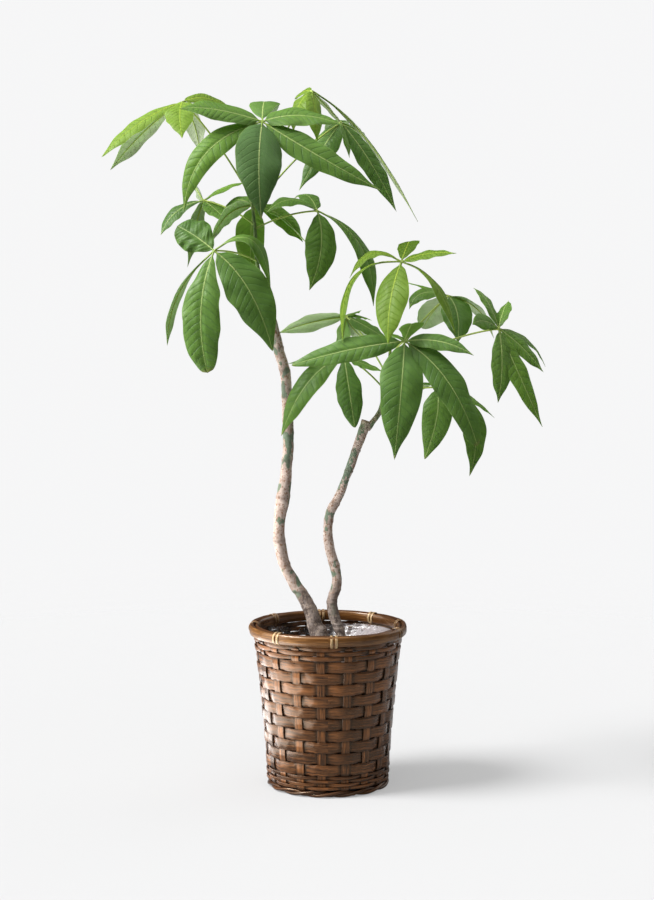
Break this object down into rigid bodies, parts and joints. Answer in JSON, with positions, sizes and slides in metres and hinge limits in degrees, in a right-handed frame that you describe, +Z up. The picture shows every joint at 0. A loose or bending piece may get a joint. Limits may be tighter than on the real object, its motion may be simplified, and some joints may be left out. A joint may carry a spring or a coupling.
{
  "type": "potted money tree",
  "caption": "Money tree with two bare trunks and palmate leaves, potted in soil and standing in a round woven basket with a clear plastic liner.",
  "frame": {"origin": "centre of the basket's flat underside, on the floor", "axes": "+Z up along the basket's axis; the pictured front faces -Y; +X to the viewer's right"},
  "size_m": [0.83, 0.4155, 1.3238],
  "materials": {
    "split_strip": "stained split strip, fine long grain, slight sheen",
    "thin_cane": "stained thin cane, slight sheen",
    "rim_cane": "half-round cane, honey brown, satin",
    "binding_cane": "pale peeled cane, satin",
    "clear_film": "thin clear crumpled plastic film",
    "pot_plastic": "plain dark moulded plastic",
    "potting_soil": "loose dark potting soil, matt",
    "bark": "rough bark, beige to grey, green towards the shoots",
    "leaf": "waxy green leaf, pale raised veins",
    "young_leaf": "young light green leaf, pale raised veins"
  },
  "bodies": {
    "root": {"basket_base_and_stakes": "split_strip", "lower_cane_row_01": "thin_cane", "lower_cane_row_02": "thin_cane", "lower_cane_row_03": "thin_cane", "lower_cane_row_04": "thin_cane", "weaver_strip_01": "split_strip", "weaver_strip_02": "split_strip", "weaver_strip_03": "split_strip", "weaver_strip_04": "split_strip", "weaver_strip_05": "split_strip", "weaver_strip_06": "split_strip", "weaver_strip_07": "split_strip", "weaver_strip_08": "split_strip", "weaver_strip_09": "split_strip", "weaver_strip_10": "split_strip", "upper_cane_row_01": "thin_cane", "upper_cane_row_02": "thin_cane", "upper_cane_row_03": "thin_cane", "foot_rod_lower": "thin_cane", "foot_rod_upper": "thin_cane", "rim_hoop_outer": "rim_cane", "rim_hoop_inner": "rim_cane", "rim_binding_1": "binding_cane", "rim_binding_2": "binding_cane", "rim_binding_3": "binding_cane", "rim_binding_4": "binding_cane", "rim_binding_5": "binding_cane", "rim_binding_6": "binding_cane", "rim_binding_7": "binding_cane", "rim_binding_8": "binding_cane", "liner_film": "clear_film", "grower_pot": "pot_plastic", "soil": "potting_soil", "trunk_left": "bark", "trunk_right": "bark", "leaf_crown_front": "leaf", "leaf_crown_left": "young_leaf", "leaf_crown_right": "young_leaf", "leaf_crown_rear": "leaf", "leaf_middle_right": "leaf", "leaf_middle_left": "leaf", "leaf_low_left": "leaf", "leaf_stem_rear": "leaf", "leaf_right_top": "young_leaf", "leaf_right_front": "leaf", "leaf_far_right": "leaf", "leaf_right_rear": "leaf", "leaf_inner_rear": "leaf", "leaf_inner_front": "leaf", "leaf_right_low": "leaf"}
  },
  "joints": []
}
